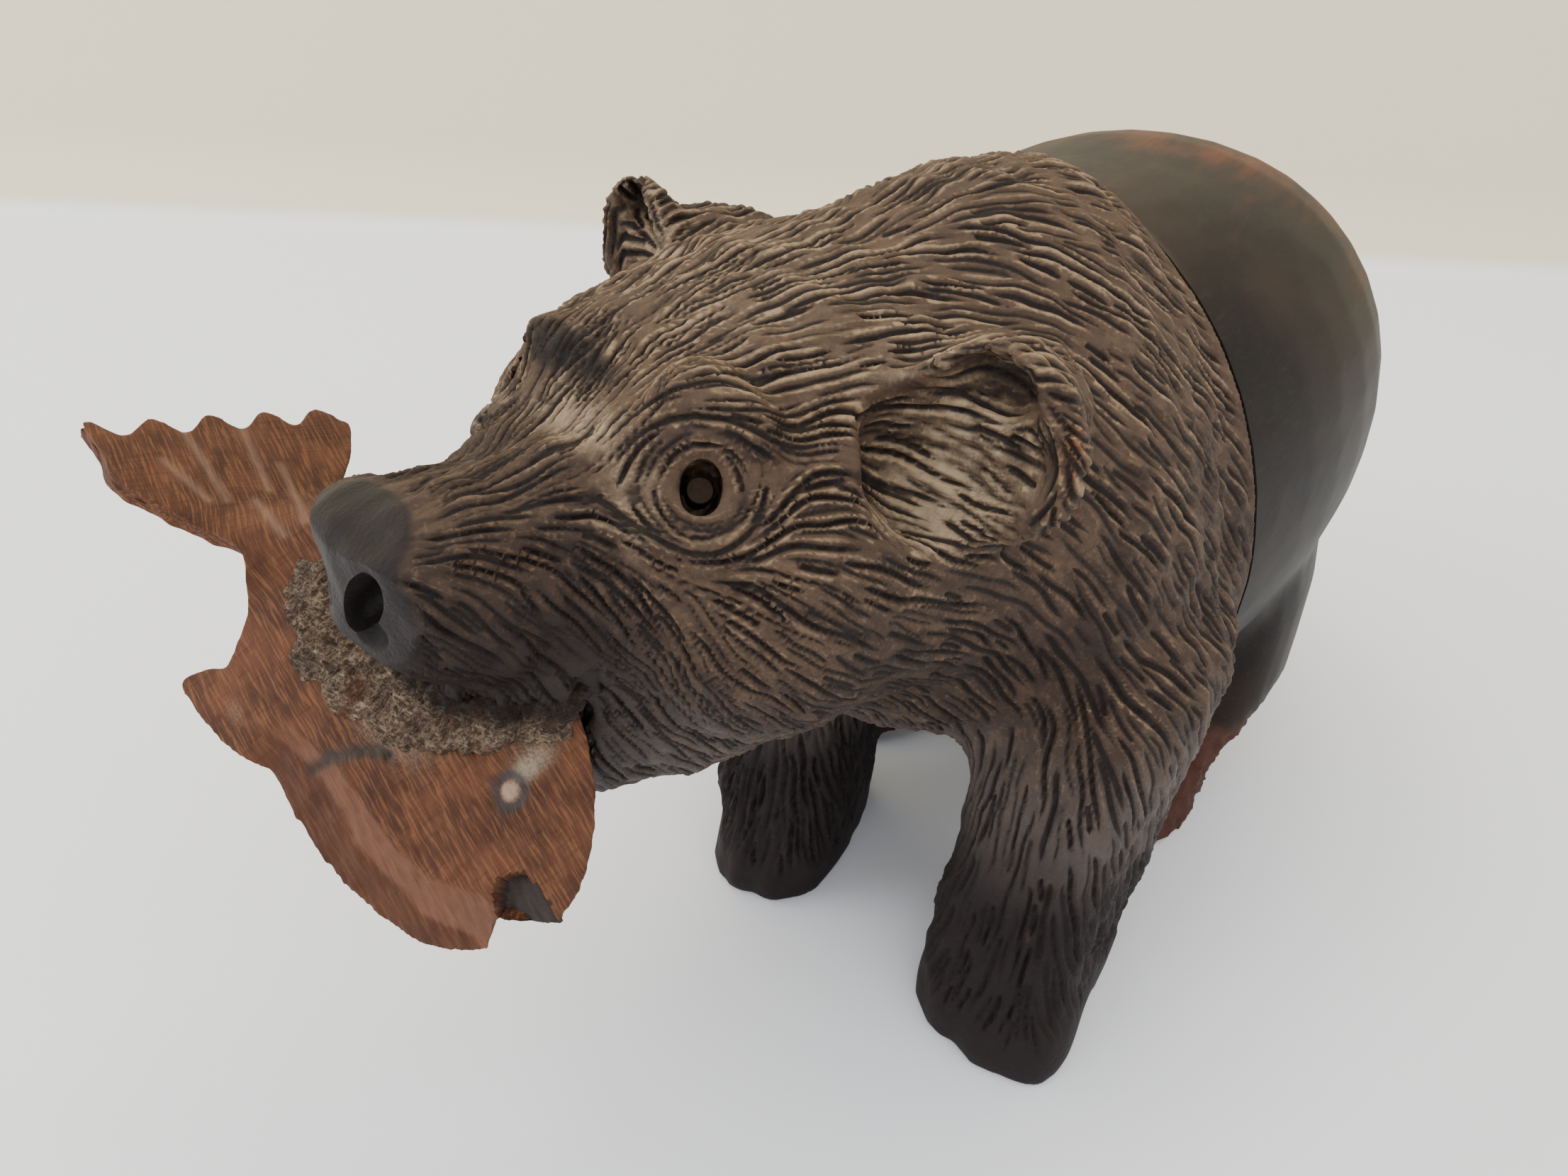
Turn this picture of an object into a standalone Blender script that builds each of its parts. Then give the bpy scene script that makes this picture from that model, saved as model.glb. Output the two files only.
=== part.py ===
"""Standing bear with a fish across its mouth, carved in dark ironwood.

Metres, +Z up.  The bear faces -Y and stands on its four soles at z = 0, with its
head turned to its own right (-X).  The carving is one block; the fish, its dowel,
the rough filler at the lips and the two eye pegs are separate pieces set into it.
"""
from math import cos, pi, radians, sin, sqrt

import bpy
import bmesh
from mathutils import Matrix, Vector

MM = 0.001

# ---- driving dimensions ----
# hindquarters: the polished barrel and rump
RUMP_WIDTH = 85 * MM
RUMP_HEIGHT = 84 * MM
RUMP_REACH = 46 * MM            # from the widest section back to the tail end
RUMP_MIDDLE_Y = 49 * MM
BELLY_Z = 15 * MM               # lowest line of the belly above the ground
FLANK_WIDTH = 64 * MM           # barrel width where it enters the mane
FLANK_TOP_Z = 101 * MM
# forequarters: the mane, down to the shoulders
MANE_END_Y = 2 * MM             # flat step where the mane stands over the barrel
MANE_WIDTH = 69 * MM
SHOULDER_NARROWING = 0.29       # how much slimmer the mane is above than below
HUMP_TOP_Z = 106.5 * MM
HUMP_Y = -19 * MM
CHEST_Z = 24 * MM               # underside of the chest
# head, in its own frame before it is turned
NECK_X = -7.7 * MM              # the neck leans to the bear's right
NECK_Y = -25 * MM
HEAD_TURN = radians(-19)
HEAD_TILT = radians(2.5)        # the right ear is carried a little higher
HEAD_WIDTH = 60 * MM
CROWN_Z = 101 * MM
SNOUT_REACH = 69 * MM           # from the neck pivot to the tip of the nose
NOSE_WIDTH = 19 * MM
NOSE_TOP_Z = 86.5 * MM
EAR_RADIUS = 10.5 * MM
EAR_THICKNESS = 6.5 * MM
EAR_SPACING = 58 * MM
EAR_Z = 91 * MM
EAR_BACK = 16 * MM              # ears sit this far in front of the neck pivot
EYE_SPACING = 32.5 * MM
EYE_REACH = 40.5 * MM           # eyes sit this far in front of the neck pivot
EYE_Z = 88 * MM
EYE_BORE = 4.2 * MM
EYE_BORE_DEPTH = 3.2 * MM
PEG_DIAMETER = 2.4 * MM
PEG_LENGTH = 4.6 * MM
PEG_SEAT_DEPTH = 3.0 * MM       # the peg's hole below the floor of the bore
# legs
STANCE = 42 * MM                # spacing between paw centres
STANCE_SHIFT = 1.2 * MM         # the front paws stand a little to the left
FRONT_PAW_WIDTH = 21.5 * MM
FRONT_PAW_LENGTH = 33 * MM
FRONT_LEG_WIDTH = 25 * MM
FRONT_PAW_Y = -26 * MM          # middle of the two front paws
TOE_IN = radians(8)             # the front paws point a little inwards
STRIDE = 7 * MM               # left front paw ahead of the right one
HIND_PAW_WIDTH = 21 * MM
HIND_PAW_LENGTH = 38 * MM
HIND_PAW_Y = 20 * MM
HIND_STANCE = 50 * MM
TOE_COUNT = 4
TOE_REACH = 2.2 * MM
# fish, drawn flat: X runs from tail to head, Y towards its back
FISH_BODY = 50 * MM             # snout to tail stock
FISH_DEPTH = 32 * MM
FISH_THICKNESS = 8 * MM
FISH_BACK_INSET = 3 * MM        # the hidden side is this much smaller all round
STOCK_Y = -6.5 * MM             # the tail stock sits below the middle of the flank
FISH_STOCK = 8 * MM             # width of the tail stock
TAIL_LENGTH = 21.5 * MM
TAIL_SPREAD = 30.5 * MM
TAIL_THICKNESS = 3.2 * MM
THINNING_X = -6 * MM            # the flank thins from here to the tail
TAIL_SCALLOPS = 5
TAIL_BULGE = 2.6 * MM           # the lower edge of the tail fin bows out this much
FISH_DROOP = radians(25)        # head of the fish hangs lower than its tail
FISH_FACING = radians(40)       # how far its flank leans forward from level
TAIL_TWIST = radians(56)        # the tail fin turns back to level
TAIL_LIFT = radians(7)
FISH_REACH = 61 * MM            # fish centre in front of the neck pivot
FISH_Z = 62 * MM
BACK_SHARE = 0.41               # share of the depth on the back's side of the middle
DOWEL_X = 0 * MM                # from the middle of the fish towards its head
DOWEL_DIAMETER = 3.6 * MM
DOWEL_LENGTH = 18 * MM
DOWEL_DEPTH_IN_FISH = 6 * MM
FILLER_WIDTH = 34 * MM
FILLER_HEIGHT = 15 * MM
FILLER_DEPTH = 2.6 * MM
# fits
FIT = 0.3 * MM                  # gap left between neighbouring pieces
# fineness of the carved skin
SOFT_VOXEL = 1.8 * MM
SOFT_PASSES = 12
SOFT_TRIANGLES = 30000
FORE_VOXEL = 1.3 * MM
HIND_VOXEL = 2.0 * MM
FORE_TRIANGLES = 6200
HIND_TRIANGLES = 1800

for old in list(bpy.data.objects):
    bpy.data.objects.remove(old, do_unlink=True)


def collection(name):
    found = bpy.data.collections.get(name) or bpy.data.collections.new(name)
    if name not in bpy.context.scene.collection.children:
        bpy.context.scene.collection.children.link(found)
    return found


PARTS = collection("bear_with_fish")
CUTTERS = collection("cutters")


def material(name, colour, roughness, metallic=0.0):
    made = bpy.data.materials.new(name)
    made.use_nodes = True
    shader = made.node_tree.nodes["Principled BSDF"]
    shader.inputs["Base Color"].default_value = (*colour, 1)
    shader.inputs["Roughness"].default_value = roughness
    shader.inputs["Metallic"].default_value = metallic
    return made


def add_object(name, mesh, where=PARTS):
    obj = bpy.data.objects.new(name, mesh)
    where.objects.link(obj)
    return obj


def from_bmesh(name, bm, where=CUTTERS):
    bmesh.ops.recalc_face_normals(bm, faces=bm.faces)
    mesh = bpy.data.meshes.new(name)
    bm.to_mesh(mesh)
    bm.free()
    return add_object(name, mesh, where)


def drop(*objects):
    for obj in objects:
        bpy.data.objects.remove(obj, do_unlink=True)


def settle(obj):
    """Apply the object's modifiers and its placement to its mesh."""
    bpy.context.view_layer.update()
    graph = bpy.context.evaluated_depsgraph_get()
    mesh = bpy.data.meshes.new_from_object(obj.evaluated_get(graph))
    mesh.transform(obj.matrix_world)
    obj.modifiers.clear()
    obj.data = mesh
    obj.matrix_world = Matrix.Identity(4)
    return obj


def boolean(obj, cutter, operation):
    step = obj.modifiers.new(operation.lower(), "BOOLEAN")
    step.operation = operation
    step.object = cutter
    step.solver = "EXACT"
    settle(obj)
    drop(cutter)
    return obj


def fuller(point, power):
    """Move a point of the unit circle out to a superellipse."""
    reach = (abs(point.x) ** power + abs(point.y) ** power) ** (1 / power)
    return point / reach


def loft(name, stations, along, place=None, segments=28, power=2.0):
    """Skin sections (x, y, z, half width, half height, narrowing) that stand square to
    the Y or the Z axis.  Power 2 gives ellipses, more gives fuller corners, and the
    narrowing draws the upper side of a section in."""
    turn = Matrix.Rotation(pi / 2, 4, "X") if along == "Y" else Matrix.Identity(4)
    bm = bmesh.new()
    rings = []
    for x, y, z, wide, tall, *narrow in stations:
        size = Matrix.Diagonal((wide, tall, 1, 1))
        here = Matrix.Translation((x, y, z)) @ turn @ size
        made = bmesh.ops.create_circle(bm, segments=segments, radius=1)
        verts = set(made["verts"])
        for vert in verts:
            vert.co = fuller(vert.co, power)
            vert.co.x *= 1 - sum(narrow) * vert.co.y
        bmesh.ops.transform(bm, matrix=here, verts=list(verts))
        rings.append([e for e in bm.edges if set(e.verts) <= verts])
    for near, far in zip(rings, rings[1:]):
        bmesh.ops.bridge_loops(bm, edges=near + far)
    for end in (rings[0], rings[-1]):
        bmesh.ops.contextual_create(bm, geom=end)
    if place:
        bmesh.ops.transform(bm, matrix=place, verts=bm.verts)
    return from_bmesh(name, bm)


def ball(name, centre, radii, place=None):
    bm = bmesh.new()
    bmesh.ops.create_uvsphere(bm, u_segments=28, v_segments=16, radius=1)
    bmesh.ops.transform(bm, matrix=Matrix.Diagonal((*radii, 1)), verts=bm.verts)
    shift = Matrix.Translation(centre)
    bmesh.ops.transform(bm, matrix=(place or Matrix.Identity(4)) @ shift, verts=bm.verts)
    return from_bmesh(name, bm)


def rod(name, base, direction, radius, length, segments=24):
    """A cylinder that starts at base and runs along direction."""
    direction = Vector(direction).normalized()
    bm = bmesh.new()
    bmesh.ops.create_cone(bm, cap_ends=True, segments=segments,
                          radius1=radius, radius2=radius, depth=length)
    turn = Vector((0, 0, 1)).rotation_difference(direction).to_matrix().to_4x4()
    middle = Vector(base) + direction * length / 2
    bmesh.ops.transform(bm, matrix=Matrix.Translation(middle) @ turn, verts=bm.verts)
    return from_bmesh(name, bm)


def merge(name, pieces):
    """Gather overlapping closed pieces in one mesh, for the remesh to fuse."""
    bm = bmesh.new()
    for piece in pieces:
        bm.from_mesh(piece.data)
    drop(*pieces)
    return from_bmesh(name, bm)


def carve(obj, voxel, passes, triangles):
    """Fuse, soften and thin a rough blank."""
    remesh = obj.modifiers.new("fuse", "REMESH")
    remesh.mode = "VOXEL"
    remesh.voxel_size = voxel
    soften = obj.modifiers.new("soften", "SMOOTH")
    soften.factor = 0.5
    soften.iterations = passes
    settle(obj)
    count = sum(len(p.vertices) - 2 for p in obj.data.polygons)
    thin = obj.modifiers.new("thin", "DECIMATE")
    thin.ratio = min(1.0, triangles / count)
    thin.use_collapse_triangulate = True
    return settle(obj)


def cut_plane(obj, point, normal):
    """Remove what lies on the normal's side of a plane and close the cut."""
    bm = bmesh.new()
    bm.from_mesh(obj.data)
    geometry = bm.verts[:] + bm.edges[:] + bm.faces[:]
    cut = bmesh.ops.bisect_plane(bm, geom=geometry, plane_co=point, plane_no=normal,
                                 dist=1e-7, clear_outer=True)
    edges = [e for e in cut["geom_cut"] if isinstance(e, bmesh.types.BMEdge)]
    bmesh.ops.triangle_fill(bm, edges=edges, use_beauty=True, normal=normal)
    bmesh.ops.recalc_face_normals(bm, faces=bm.faces)
    bm.to_mesh(obj.data)
    bm.free()
    return obj


# ---- frames ----
HEAD = (Matrix.Translation((NECK_X, NECK_Y, 0)) @ Matrix.Rotation(HEAD_TURN, 4, "Z")
        @ Matrix.Translation((0, 0, EYE_Z)) @ Matrix.Rotation(HEAD_TILT, 4, "Y")
        @ Matrix.Translation((0, 0, -EYE_Z)))
FISH = (HEAD @ Matrix.Translation((0, -FISH_REACH, FISH_Z))
        @ Matrix.Rotation(FISH_DROOP, 4, "Y") @ Matrix.Rotation(FISH_FACING, 4, "X"))


def hindquarters():
    """Barrel and egg-shaped rump, polished, on two short rough hind legs."""
    mid_z = BELLY_Z + RUMP_HEIGHT / 2
    flank_z = (FLANK_TOP_Z + CHEST_Z) / 2
    flank_tall = (FLANK_TOP_Z - CHEST_Z) / 2
    start_y = MANE_END_Y - 14 * MM
    stations = []
    for step in range(7):
        share = step / 6
        ease = sin(share * pi / 2)
        stations.append((0.25 * NECK_X * (1 - ease), start_y + share * (RUMP_MIDDLE_Y - start_y),
                         flank_z + ease * (mid_z - flank_z),
                         (FLANK_WIDTH + ease * (RUMP_WIDTH - FLANK_WIDTH)) / 2,
                         flank_tall + ease * (RUMP_HEIGHT / 2 - flank_tall),
                         SHOULDER_NARROWING * (1 - ease)))
    for step in range(1, 9):
        angle = step / 8 * radians(86)
        stations.append((0, RUMP_MIDDLE_Y + RUMP_REACH * sin(angle), mid_z,
                         RUMP_WIDTH / 2 * cos(angle), RUMP_HEIGHT / 2 * cos(angle)))
    pieces = [loft("barrel", stations, "Y", segments=40, power=2.15)]
    pieces.append(ball("tail", (0, RUMP_MIDDLE_Y + RUMP_REACH - 4 * MM, mid_z + 12 * MM),
                       (5 * MM, 6 * MM, 8 * MM)))
    for side in (1, -1):
        pieces += hind_leg(side)
    return carve(merge("hindquarters", pieces), HIND_VOXEL, 5, HIND_TRIANGLES)


def hind_leg(side):
    x = side * HIND_STANCE / 2
    half = HIND_PAW_WIDTH / 2
    reach = HIND_PAW_LENGTH / 2
    hip = RUMP_WIDTH / 2 - half - 2.5 * MM
    return [loft("hind_leg", [
        (side * (hip - 4 * MM), RUMP_MIDDLE_Y - 6 * MM, 52 * MM, half + 2 * MM, 21 * MM),
        (side * (hip - 1 * MM), RUMP_MIDDLE_Y - 8 * MM, 34 * MM, half + 2.5 * MM, 22 * MM),
        (side * hip, HIND_PAW_Y + 14 * MM, 22 * MM, half + 2 * MM, 20 * MM),
        (x + side * 1.5 * MM, HIND_PAW_Y + 6 * MM, 11 * MM, half, reach - 2 * MM),
        (x, HIND_PAW_Y, 6 * MM, half, reach),
        (x, HIND_PAW_Y, -3 * MM, half, reach)], "Z", power=2.6)] + toes(
            x, HIND_PAW_Y - reach, HIND_PAW_WIDTH)


def toes(x, front_y, paw_width, place=None):
    """Rounded toe ends in a row across the front of a paw."""
    pitch = paw_width / TOE_COUNT
    row = []
    for index in range(TOE_COUNT):
        offset = (index - (TOE_COUNT - 1) / 2) * pitch
        setback = 3 * offset ** 2 / paw_width
        row.append(ball("toe", (x + offset, front_y + 3 * MM + setback, 2.5 * MM),
                        (pitch * 0.54, TOE_REACH + 3 * MM, 6 * MM), place))
    return row


def front_leg(side):
    x = side * STANCE / 2 + STANCE_SHIFT
    y = FRONT_PAW_Y - side * STRIDE / 2
    half = FRONT_PAW_WIDTH / 2
    reach = FRONT_PAW_LENGTH / 2
    top = FRONT_LEG_WIDTH / 2
    flare = top - half
    sections = [
        (x - side * 5 * MM, y + 17 * MM, 66 * MM, top - 5 * MM, 14 * MM),
        (x + side * flare * 0.5, y + 14 * MM, 49 * MM, top, 19 * MM),
        (x + side * flare * 0.4, y + 8 * MM, 34 * MM, top - 0.6 * MM, 17 * MM),
        (x + side * 0.3 * MM, y + 4 * MM, 20 * MM, half + 0.6 * MM, 14.5 * MM),
        (x, y + 1 * MM, 9 * MM, half, reach - 1 * MM),
        (x, y, -3 * MM, half, reach)]
    pivot = Vector((x, y, 0))
    turn = (Matrix.Translation(pivot) @ Matrix.Rotation(-side * TOE_IN, 4, "Z")
            @ Matrix.Translation(-pivot))
    paw = [loft("front_paw", sections[-3:], "Z", turn, power=3.6)]
    return [loft("front_leg", sections, "Z", turn, power=3.0)], paw + toes(
        x, y - reach, FRONT_PAW_WIDTH, turn)


def neck_and_mane():
    """The mane from the flat step forward to the nape, leaning towards the head."""
    half = MANE_WIDTH / 2
    step_z = (FLANK_TOP_Z + CHEST_Z) / 2
    hump_z = (HUMP_TOP_Z + CHEST_Z) / 2
    narrow = SHOULDER_NARROWING
    return [loft("mane", [
        (0.25 * NECK_X, MANE_END_Y + 6 * MM, step_z, half, step_z - CHEST_Z + 1.8 * MM, narrow),
        (0.35 * NECK_X, MANE_END_Y - 6 * MM, hump_z, half, hump_z - CHEST_Z - 0.5 * MM, narrow),
        (0.5 * NECK_X, HUMP_Y, hump_z + 3.5 * MM, half, hump_z - CHEST_Z - 4 * MM, narrow * 0.8),
        (0.8 * NECK_X, HUMP_Y - 10 * MM, 68.5 * MM, half - 1 * MM, 34.5 * MM, narrow * 0.5),
        (1.1 * NECK_X, HUMP_Y - 19 * MM, 69.5 * MM, half - 5 * MM, 29 * MM, 0),
        (1.4 * NECK_X, HUMP_Y - 27 * MM, 70 * MM, half - 13 * MM, 22 * MM, 0)],
        "Y", segments=40, power=2.1)]


def head_forms():
    """The head, in the head frame: the nose points along -Y."""
    half = HEAD_WIDTH / 2
    nose = NOSE_WIDTH / 2
    tip = NOSE_TOP_Z - 9 * MM
    forms = [loft("skull", [
        (0, -2 * MM, CROWN_Z - 30 * MM, half + 1 * MM, 30 * MM),
        (0, -16 * MM, CROWN_Z - 26 * MM, half, 26 * MM),
        (0, -27 * MM, CROWN_Z - 24 * MM, half - 2 * MM, 22 * MM),
        (0, -37 * MM, CROWN_Z - 23.5 * MM, half - 6.5 * MM, 18.5 * MM),
        (0, -45 * MM, CROWN_Z - 24 * MM, nose + 8.5 * MM, 15.5 * MM),
        (0, -54 * MM, tip - 0.5 * MM, nose + 4 * MM, 12.8 * MM),
        (0, -SNOUT_REACH + 7 * MM, tip - 0.4 * MM, nose + 2 * MM, 10.6 * MM),
        (0, -SNOUT_REACH + 2.5 * MM, tip + 0.6 * MM, nose + 0.6 * MM, 9.2 * MM),
        (0, -SNOUT_REACH - 0.5 * MM, tip + 2.5 * MM, nose - 2 * MM, 6 * MM)],
        "Y", HEAD, power=2.25)]
    forms.append(loft("jaw", [
        (0, -20 * MM, 66 * MM, 24 * MM, 22 * MM),
        (0, -32 * MM, 60 * MM, 19 * MM, 17 * MM),
        (0, -42 * MM, 56.5 * MM, 15 * MM, 13 * MM),
        (0, -50 * MM, 54 * MM, 11 * MM, 9 * MM),
        (0, -55 * MM, 53 * MM, 8 * MM, 6 * MM)], "Y", HEAD))
    for side in (1, -1):
        forms.append(ball("cheek", (side * 16.5 * MM, -30 * MM, 73 * MM),
                          (13 * MM, 16 * MM, 17 * MM), HEAD))
        forms.append(ball("brow", (side * 10 * MM, -36 * MM, 91 * MM),
                          (8 * MM, 8 * MM, 4.5 * MM), HEAD))
    return forms


def ear_frame(side):
    place = HEAD @ Matrix.Translation((side * EAR_SPACING / 2, -EAR_BACK, EAR_Z))
    return place @ Matrix.Rotation(side * radians(14), 4, "Z")


def ear_blank(side):
    """A round flap and the root that runs back from it into the neck."""
    thick = EAR_THICKNESS / 2 + 1 * MM
    return [ball("ear", (0, 0, 0), (EAR_RADIUS, thick, EAR_RADIUS), ear_frame(side)),
            ball("ear_root", (-side * 3.5 * MM, 7 * MM, -3 * MM),
                 (EAR_RADIUS * 0.85, 14 * MM, EAR_RADIUS * 0.95), ear_frame(side))]


def ear_hollow(side):
    """A scoop that opens forwards and runs out over the side of the head."""
    cup = EAR_RADIUS - 2.3 * MM
    return ball("ear_hollow", (side * 0.8 * MM, -EAR_THICKNESS * 0.8, -0.5 * MM),
                (cup, EAR_THICKNESS, cup), ear_frame(side))


def nostril(side):
    place = HEAD @ Matrix.Translation((side * 4.6 * MM, -SNOUT_REACH, NOSE_TOP_Z - 9 * MM))
    place = place @ Matrix.Rotation(side * radians(35), 4, "Z")
    place = place @ Matrix.Rotation(side * radians(-24), 4, "Y")
    return ball("nostril", (0, 0, 0), (1.9 * MM, 5 * MM, 3.2 * MM), place)


def eye_axis(side):
    """Rim centre and inward direction of an eye bore."""
    rim = HEAD @ Vector((side * EYE_SPACING / 2, -EYE_REACH, EYE_Z))
    inward = HEAD.to_3x3() @ Vector((-side * 0.62, 0.42, -0.66))
    return rim, inward.normalized()


# ---- fish ----
def fish_outline():
    """Half the points follow the body's curve, the rest the scalloped tail."""
    nose = FISH_BODY / 2
    stock = FISH_STOCK / 2
    back = FISH_DEPTH * BACK_SHARE
    belly = back - FISH_DEPTH
    points = [
        (-nose, STOCK_Y + stock), (-nose + 12 * MM, back * 0.35), (-2 * MM, back * 0.86),
        (6 * MM, back), (12 * MM, back * 0.86), (19.8 * MM, back * 0.54),
        (23.4 * MM, back * 0.2), (nose - 0.3 * MM, -2 * MM),
        (nose - 6 * MM, -3.6 * MM), (nose - 5.6 * MM, -6 * MM),
        (nose - 2 * MM, -8.6 * MM), (nose - 7.5 * MM, belly * 0.73),
        (8.4 * MM, belly * 0.93), (-3 * MM, belly), (-8.5 * MM, belly - 3 * MM),
        (-15 * MM, belly - 5.5 * MM), (-21.5 * MM, belly - 5 * MM), (-21 * MM, belly - 1.5 * MM),
        (-17 * MM, belly + 3.5 * MM), (-nose, STOCK_Y - stock)]
    fan = []
    for share in (0.4, 0.7):
        fan.append((-nose - share * TAIL_LENGTH,
                    STOCK_Y - stock - share * (TAIL_SPREAD / 2 - stock) - TAIL_BULGE))
    for index in range(2 * TAIL_SCALLOPS + 1):
        share = index / (2 * TAIL_SCALLOPS) * 2 - 1
        notch = 2.4 * MM if index % 2 == 0 and 0 < index < 2 * TAIL_SCALLOPS else 0
        bow = 3 * MM * share ** 2
        fan.append((-nose - TAIL_LENGTH + notch + bow * 0.3, STOCK_Y + share * TAIL_SPREAD / 2))
    return points + fan


def fish_solid(name, grow, where):
    """Fish plate, larger by grow all round, bent and set in the mouth.  Its edge runs
    in towards the back, so only the flank shows from the front."""
    bm = bmesh.new()
    rim = [bm.verts.new((x, y, 0)) for x, y in fish_outline()]
    flank = bmesh.ops.triangulate(bm, faces=[bm.faces.new(rim)])["faces"]
    pushed = [outward(rim, index, grow) for index in range(len(rim))]
    inset = [outward(rim, index, grow - back_inset(rim[index].co.x)) for index in range(len(rim))]
    back = bmesh.ops.extrude_face_region(bm, geom=flank)
    far = sorted((v for v in back["geom"] if isinstance(v, bmesh.types.BMVert)),
                 key=lambda v: min(range(len(rim)), key=lambda i: (rim[i].co - v.co).length))
    for near_vert, far_vert, near_place, far_place in zip(rim, far, pushed, inset):
        near_vert.co = (near_place.x, near_place.y, grow)
        far_vert.co = (far_place.x, far_place.y, -FISH_THICKNESS - grow)
    for x in [(-FISH_BODY / 2 - TAIL_LENGTH + 6 * MM) + 4 * MM * n for n in range(17)]:
        bmesh.ops.bisect_plane(bm, geom=bm.verts[:] + bm.edges[:] + bm.faces[:],
                               plane_co=(x, 0, 0), plane_no=(1, 0, 0), dist=1e-6)
    for vert in bm.verts:
        vert.co = bend_fish(vert.co, grow)
    bmesh.ops.triangulate(bm, faces=bm.faces)
    bmesh.ops.transform(bm, matrix=FISH, verts=bm.verts)
    return from_bmesh(name, bm, where)


def back_inset(x):
    """The hidden side is smaller than the flank, less so along the tail."""
    share = min(1.0, max(0.0, (x + FISH_BODY / 2) / (FISH_BODY / 4)))
    return 0.8 * MM + share * (FISH_BACK_INSET - 0.8 * MM)


def outward(rim, index, distance):
    """A rim corner moved square to the outline; the rim runs clockwise."""
    before = (rim[index].co - rim[index - 1].co).normalized()
    after = (rim[(index + 1) % len(rim)].co - rim[index].co).normalized()
    along = (before + after).normalized()
    sharp = max(0.6, sqrt((1 + before.dot(after)) / 2))
    return rim[index].co + Vector((-along.y, along.x, 0)) * (distance / sharp)


def bend_fish(point, grow):
    """Thin, twist and lower the tail; the flank facing out lies at z = 0."""
    x, y, z = point
    start = -FISH_BODY / 2 + 4 * MM
    share = min(1.0, max(0.0, (start - x) / (TAIL_LENGTH * 0.6)))
    share = share * share * (3 - 2 * share)
    ease = min(1.0, max(0.0, (THINNING_X - x) / (THINNING_X - start)))
    ease = ease * ease * (3 - 2 * ease)
    thin = (TAIL_THICKNESS + 2 * grow) / (FISH_THICKNESS + 2 * grow)
    z = grow + (z - grow) * (1 + ease * (thin - 1))
    twist = -TAIL_TWIST * share
    middle = STOCK_Y * share
    dy = y - middle
    y, z = middle + dy * cos(twist) - z * sin(twist), dy * sin(twist) + z * cos(twist)
    run = max(0.0, start - x)
    z -= run * sin(TAIL_LIFT) * share
    x += run * share * (1 - cos(TAIL_LIFT))
    return Vector((x, y, z))


def dowel(name, grow):
    """A peg from the back edge of the fish up into the head."""
    back = FISH_DEPTH * BACK_SHARE
    deep = FISH @ Vector((DOWEL_X, back - DOWEL_DEPTH_IN_FISH - grow, -FISH_THICKNESS / 2))
    along = FISH.to_3x3() @ Vector((0, 1, 0))
    return rod(name, deep, along, DOWEL_DIAMETER / 2 + grow, DOWEL_LENGTH + 2 * grow, 20)


def filler_solid(name, grow):
    place = FISH @ Matrix.Translation((-4 * MM, 1 * MM, 0.2 * MM))
    place = place @ Matrix.Rotation(radians(32), 4, "Z")
    return ball(name, (0, 0, 0), (FILLER_WIDTH / 2 + grow, FILLER_HEIGHT / 2 + grow,
                                  FILLER_DEPTH + grow), place)


def build():
    dark = material("dark_ironwood", (0.045, 0.028, 0.02), 0.5)
    raw = material("raw_ironwood", (0.20, 0.075, 0.035), 0.7)
    dust = material("sawdust_filler", (0.26, 0.21, 0.14), 0.95)
    peg_wood = material("eye_peg_wood", (0.03, 0.018, 0.012), 0.6)
    dowel_wood = material("pale_dowel", (0.55, 0.38, 0.2), 0.7)

    soft, crisp = neck_and_mane() + head_forms(), []
    for side in (1, -1):
        leg, paw = front_leg(side)
        soft += leg
        crisp += paw + ear_blank(side)
    blended = carve(merge("blended", soft), SOFT_VOXEL, SOFT_PASSES, SOFT_TRIANGLES)
    fore = carve(merge("forequarters", crisp + [blended]), FORE_VOXEL, 4, FORE_TRIANGLES)
    cut_plane(fore, (0, MANE_END_Y, 0), (0, 1, 0))
    bear = boolean(fore, hindquarters(), "UNION")
    bear.name = "bear_body"
    cut_plane(bear, (0, 0, 0), (0, 0, -1))

    for side, eye in ((1, "left_eye_peg"), (-1, "right_eye_peg")):
        boolean(bear, ear_hollow(side), "DIFFERENCE")
        boolean(bear, nostril(side), "DIFFERENCE")
        rim, inward = eye_axis(side)
        boolean(bear, rod("bore", rim - inward * 6 * MM, inward, EYE_BORE / 2,
                          EYE_BORE_DEPTH + 6 * MM), "DIFFERENCE")
        floor = rim + inward * EYE_BORE_DEPTH
        boolean(bear, rod("seat", floor - inward * 1 * MM, inward, PEG_DIAMETER / 2 + FIT,
                          PEG_SEAT_DEPTH + 1 * MM), "DIFFERENCE")
        base = floor + inward * (PEG_SEAT_DEPTH - FIT)
        peg = rod(eye, base, -inward, PEG_DIAMETER / 2, PEG_LENGTH, 20)
        finish(peg, peg_wood)

    boolean(bear, fish_solid("fish_slot", FIT, CUTTERS), "DIFFERENCE")
    fish = fish_solid("fish", 0, PARTS)
    for piece in (bear, fish):
        boolean(piece, dowel("dowel_hole", FIT), "DIFFERENCE")
    finish(dowel("fish_dowel", 0), dowel_wood)
    filler = filler_solid("mouth_filler", 0)
    boolean(filler, fish_solid("fish_in_filler", FIT, CUTTERS), "DIFFERENCE")
    boolean(bear, filler_solid("filler_pocket", FIT), "DIFFERENCE")
    finish(bear, dark)
    finish(fish, raw)
    finish(filler, dust)


def centre_on_ground():
    """Set the middle of the footprint of the whole carving over the origin."""
    corners = [v.co for obj in PARTS.objects for v in obj.data.vertices]
    low = Vector([min(c[axis] for c in corners) for axis in range(3)])
    high = Vector([max(c[axis] for c in corners) for axis in range(3)])
    shift = Matrix.Translation((-(low.x + high.x) / 2, -(low.y + high.y) / 2, -low.z))
    for obj in PARTS.objects:
        obj.data.transform(shift)


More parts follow.
